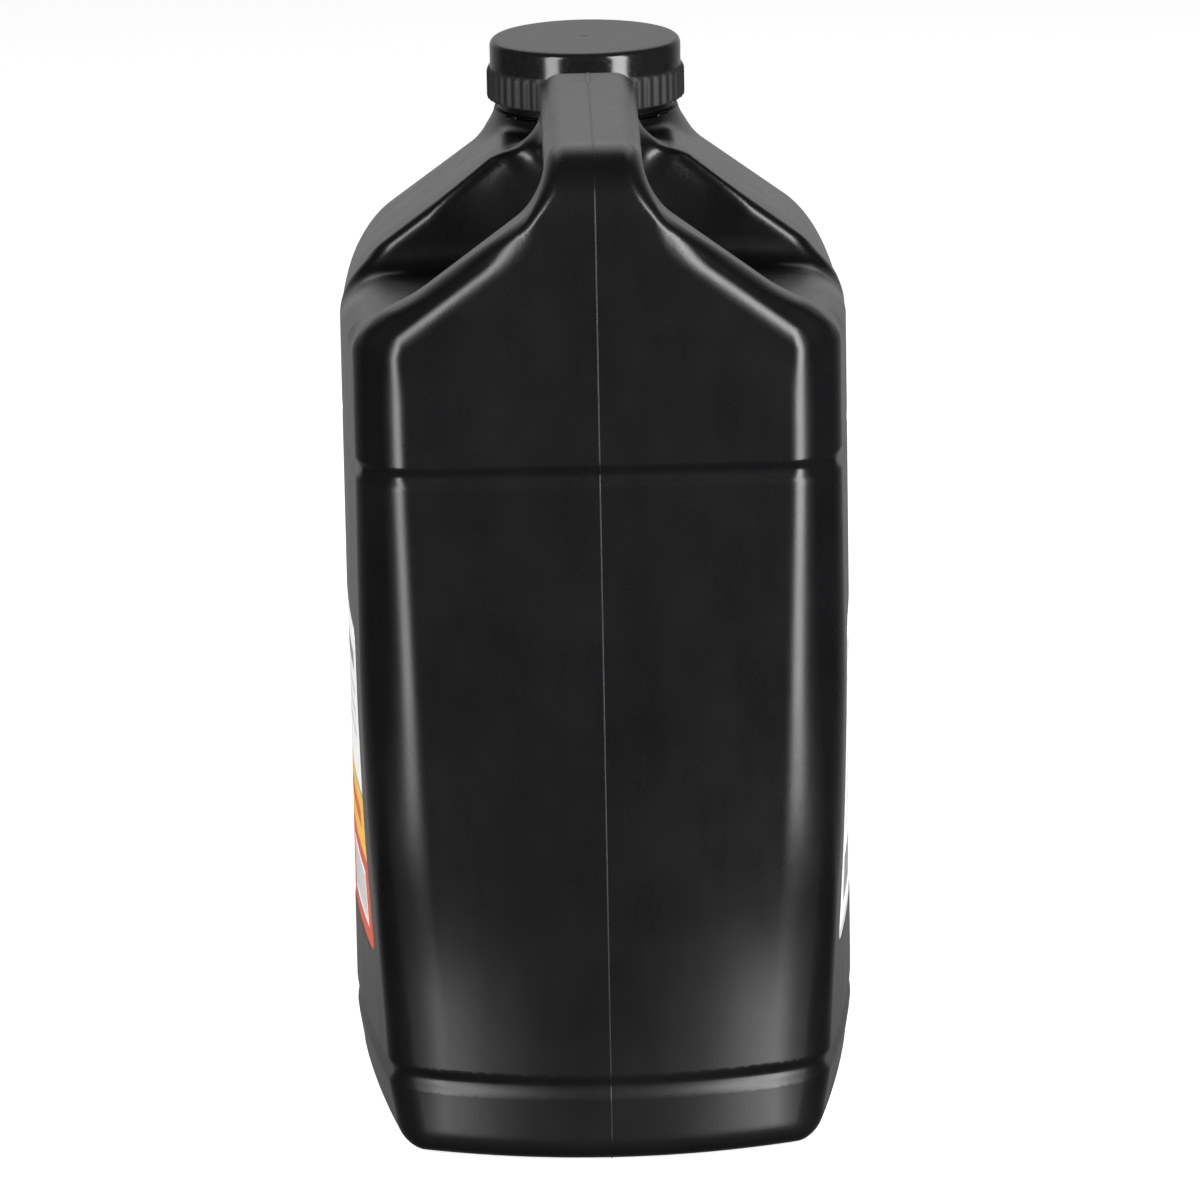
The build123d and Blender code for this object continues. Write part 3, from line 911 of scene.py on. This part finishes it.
def cap_profile():
    """The cap's section over the outside and up the bore, and which rows are ribbed or threaded."""
    edge = [(CAP_BAND_RADIUS - CAP_RIM * (1 - math.sin(t)), CAP_TOP - CAP_RIM * (1 - math.cos(t)))
            for t in np.linspace(0.12, math.pi / 2, 8)]
    gate = [(AXIS_GAP, CAP_TOP - 0.3), (GATE_RADIUS - 0.2, CAP_TOP - 0.3)]
    gate += [(GATE_RADIUS + 0.3, CAP_TOP - 0.08)]
    top = [(r, CAP_TOP) for r in (GATE_RADIUS + 0.9, 4.0, 9.0, 16.0, 23.0, 27.0)]
    band = [(CAP_BAND_RADIUS, z) for z in (332.6, 330.6, 328.8)]
    step_in = [(CAP_BAND_RADIUS + 0.05, 328.2), (CAP_RIB_ROOT, CAP_RIB_TOP + 0.35)]
    ribs = [(CAP_RIB_ROOT, z) for z in (327.2, 326.9, 326.5, 325.9, 324.0, 321.5, 319.0, 317.9, 317.5)]
    foot = [(CAP_RIB_ROOT - 0.1, CAP_FOOT + 0.1), (CAP_RIB_ROOT - 0.4, CAP_FOOT)]
    mouth = [(CAP_BORE + 0.4, CAP_FOOT), (CAP_BORE, CAP_FOOT + 0.4)]
    bore = [(CAP_BORE, z) for z in np.arange(CAP_FOOT + 0.8, CAP_ROOF - 1.2, THREAD_ROW)]
    roof = [(CAP_BORE, CAP_ROOF - 0.9)] + [(r, CAP_ROOF) for r in (CAP_BORE - 0.3, 20.0, 8.0, AXIS_GAP)]
    parts = [gate, top, edge, band, step_in, ribs, foot, mouth, bore, roof]
    part = np.repeat(np.arange(len(parts)), [len(rows) for rows in parts])
    profile = np.array([row for rows in parts for row in rows], float)
    return profile, part == parts.index(ribs), part == parts.index(bore)


def build_cap():
    """The screw cap: one closed turned shell with ribs outside and a thread inside."""
    count = CAP_RIBS * 8
    profile, ribbed, threaded = cap_profile()
    heights = profile[:, 1]

    def shift(angle, row):
        wave = np.mod(angle * CAP_RIBS / (2 * math.pi), 1.0)
        crown = ease((0.5 - np.abs(wave - 0.5) - 0.04) / 0.36)
        z = heights[row]
        upper = np.clip((CAP_RIB_TOP + 0.1 - z) / 1.3, 0, 1) ** 0.5
        lower = np.clip((z - CAP_FOOT + 0.1) / 0.6, 0, 1)
        out = CAP_RIB_DEPTH * crown * upper * lower * ribbed[row]
        bead = helix_bead(math.pi / 2 - angle, z, math.pi)
        return out - THREAD_DEPTH * bead * threaded[row]

    points, _ = turned(profile, count, shift)
    faces = [list(f) for f in ring_faces(len(profile), count)]
    start = list(range(count))
    end = list(range((len(profile) - 1) * count, len(profile) * count))
    faces += [start, end[::-1]]
    mesh = mesh_from("cap", points, faces)
    mesh.flip_normals()
    smooth(mesh, 50)
    return mesh


def build_liner():
    count = LINER_COUNT
    low, high = NECK_RIM, NECK_RIM + LINER_THICKNESS
    profile = np.array(
        [(0.4, low), (NECK_BORE - 1.5, low), (NECK_BORE, low + 0.12), (NECK_RADIUS, low + 0.12),
         (LINER_RADIUS - 0.2, low + 0.02), (LINER_RADIUS, low + 0.2), (LINER_RADIUS, high - 0.2),
         (LINER_RADIUS - 0.2, high), (0.4, high)]
    )
    points, _ = turned(profile, count, lambda angle, row: np.zeros(np.broadcast(angle, row).shape))
    faces = [list(f) for f in ring_faces(len(profile), count)]
    faces += [list(range(count)), list(range((len(profile) - 1) * count, len(profile) * count))[::-1]]
    mesh = mesh_from("cap_liner", points, faces)
    smooth(mesh, 40)
    return mesh


def build_label(side):
    """A thin curved film on the jug's side, with round corners."""
    half_height = (LABEL_TOP - LABEL_FOOT) / 2
    turn = np.sin(np.linspace(0, math.pi / 2, 9))
    corner_z = half_height - LABEL_CORNER + LABEL_CORNER * turn
    middle = np.linspace(-(half_height - LABEL_CORNER), half_height - LABEL_CORNER, 42)[1:-1]
    rows = np.concatenate([-corner_z[::-1], middle, corner_z])
    inset = np.maximum(0, np.abs(rows) - (half_height - LABEL_CORNER))
    half_length = LABEL_HALF_LENGTH - LABEL_CORNER + np.sqrt(np.maximum(0, LABEL_CORNER**2 - inset**2))
    across = np.linspace(-1, 1, 81)
    y = half_length[:, None] * across[None, :]
    z = np.repeat(rows[:, None] + (LABEL_TOP + LABEL_FOOT) / 2, len(across), 1)

    def sheet(depth):
        x = np.full(y.shape, HALF_WIDTH - 3)
        for _ in range(6):
            value = skin_form(x, y, z, False) + depth
            slope = (skin_form(x + 0.05, y, z, False) - skin_form(x - 0.05, y, z, False)) / 0.1
            x = x - value / np.maximum(slope, 0.3)
        return np.stack([side * x, y, z], 2).reshape(-1, 3)

    points = np.concatenate([sheet(LABEL_SINK), sheet(LABEL_RECESS)])
    count_z, count_y = y.shape
    i = np.arange(count_z - 1)[:, None] * count_y
    j = np.arange(count_y - 1)[None, :]
    front = np.stack([i + j, i + j + 1, i + j + 1 + count_y, i + j + count_y], 2).reshape(-1, 4)
    offset = count_z * count_y
    border = list(range(count_y)) + [r * count_y + count_y - 1 for r in range(1, count_z)]
    border += [(count_z - 1) * count_y + c for c in range(count_y - 2, -1, -1)]
    border += [r * count_y for r in range(count_z - 2, 0, -1)]
    border = np.array(border)
    following = np.roll(border, -1)
    edge = np.stack([border, border + offset, following + offset, following], 1)
    faces = np.concatenate([front, front[:, ::-1] + offset, edge])
    if side < 0:
        faces = faces[:, ::-1]
    mesh = mesh_from("label_left" if side < 0 else "label_right", points, faces)
    smooth(mesh, 40)
    return mesh


jug_mesh, seam_mesh = build_jug()
black = jug_plastic()
place("jug_skin", jug_mesh, black, "jug_body", "jug")
place("mould_seam", seam_mesh, black, "jug_body", None)
place("screw_cap", build_cap(), cap_plastic(), "cap_body", "cap")
place("cap_wad", build_liner(), liner_foam(), "cap_carrier", "cap_liner")
for label_node, side in (("label_left", -1), ("label_right", 1)):
    film = build_label(side)
    place(label_node + "_film", film, label_print(side < 0), "jug_body", label_node)


# Camera, floor and studio light


def make_camera():
    pitch, yaw, roll = (math.radians(a) for a in (CAMERA_PITCH, CAMERA_YAW, CAMERA_ROLL))
    ahead = Vector((math.sin(yaw) * math.cos(pitch), math.cos(yaw) * math.cos(pitch), -math.sin(pitch)))
    right = Vector((math.cos(yaw), -math.sin(yaw), 0))
    up = right.cross(ahead)
    tilted_right = right * math.cos(roll) - up * math.sin(roll)
    tilted_up = right * math.sin(roll) + up * math.cos(roll)
    data = bpy.data.cameras.new("camera")
    data.sensor_width = SENSOR_WIDTH
    data.lens = FOCAL_SHARE * SENSOR_WIDTH
    data.clip_end = 50
    camera = bpy.data.objects.new("camera", data)
    turn = Matrix((tilted_right, tilted_up, -ahead)).transposed().to_4x4()
    camera.matrix_world = Matrix.Translation(CAMERA_PLACE) @ turn
    bpy.context.scene.collection.objects.link(camera)
    bpy.context.scene.camera = camera


def make_floor():
    mesh = bpy.data.meshes.new("floor")
    grid = bmesh.new()
    bmesh.ops.create_grid(grid, x_segments=8, y_segments=8, size=6.0)
    grid.to_mesh(mesh)
    grid.free()
    floor = bpy.data.objects.new("floor", mesh)
    floor.location.z = -FLOOR_GAP
    material = bpy.data.materials.new("floor")
    material.use_nodes = True
    tree = material.node_tree
    shader = tree.nodes["Principled BSDF"]
    shader.inputs["Roughness"].default_value = 0.9
    shader.inputs["Specular IOR Level"].default_value = 0.1
    shader.inputs["Base Color"].default_value = (0.86, 0.86, 0.86, 1)
    shader.inputs["Emission Color"].default_value = (1, 1, 1, 1)
    shader.inputs["Emission Strength"].default_value = 0.8
    floor.visible_glossy = False
    floor.visible_shadow = False
    mesh.materials.append(material)
    bpy.context.scene.collection.objects.link(floor)


def make_softbox(name, azimuth, elevation, size, power):
    """A rectangular light that faces the bottle, at an azimuth, from the camera's side to +X."""
    az, el = math.radians(azimuth), math.radians(elevation)
    away = Vector((math.sin(az) * math.cos(el), -math.cos(az) * math.cos(el), math.sin(el)))
    data = bpy.data.lights.new(name, "AREA")
    data.shape = "RECTANGLE"
    data.size, data.size_y = size
    data.energy = power
    light = bpy.data.objects.new(name, data)
    light.location = Vector(LIGHT_TARGET) + away * LIGHT_DISTANCE
    light.rotation_euler = (-away).to_track_quat("-Z", "Y").to_euler()
    bpy.context.scene.collection.objects.link(light)


def make_world():
    """White to the camera, and for reflections a pale backdrop behind the bottle that darkens downwards."""
    world = bpy.data.worlds.new("studio")
    bpy.context.scene.world = world
    world.use_nodes = True
    tree = world.node_tree
    background = tree.nodes["Background"]
    background.inputs["Color"].default_value = (1, 1, 1, 1)
    coords = tree.nodes.new("ShaderNodeTexCoord")
    split = tree.nodes.new("ShaderNodeSeparateXYZ")
    tree.links.new(coords.outputs["Generated"], split.inputs[0])

    def ramp(axis, low, high, to_low, to_high):
        node = tree.nodes.new("ShaderNodeMapRange")
        tree.links.new(split.outputs[axis], node.inputs["Value"])
        for key, value in (("From Min", low), ("From Max", high), ("To Min", to_low), ("To Max", to_high)):
            node.inputs[key].default_value = value
        return node.outputs[0]

    def combine(operation, a, b):
        node = tree.nodes.new("ShaderNodeMath")
        node.operation = operation
        tree.links.new(a, node.inputs[0])
        tree.links.new(b, node.inputs[1])
        return node.outputs[0]

    backdrop = combine("MULTIPLY", ramp("Y", 0.5, 0.95, 0.02, 0.6), ramp("Z", -0.25, 0.15, 0.6, 1.0))
    seen = tree.nodes.new("ShaderNodeLightPath").outputs["Is Camera Ray"]
    tree.links.new(combine("MAXIMUM", seen, backdrop), background.inputs["Strength"])


make_camera()
make_floor()
make_world()
make_softbox("over", azimuth=0, elevation=134, size=(1.6, 0.9), power=4)
make_softbox("left_box", azimuth=-42, elevation=12, size=(0.44, 2.0), power=26)
make_softbox("right_box", azimuth=42, elevation=12, size=(0.50, 2.0), power=40)
bpy.context.scene.view_settings.view_transform = "Standard"
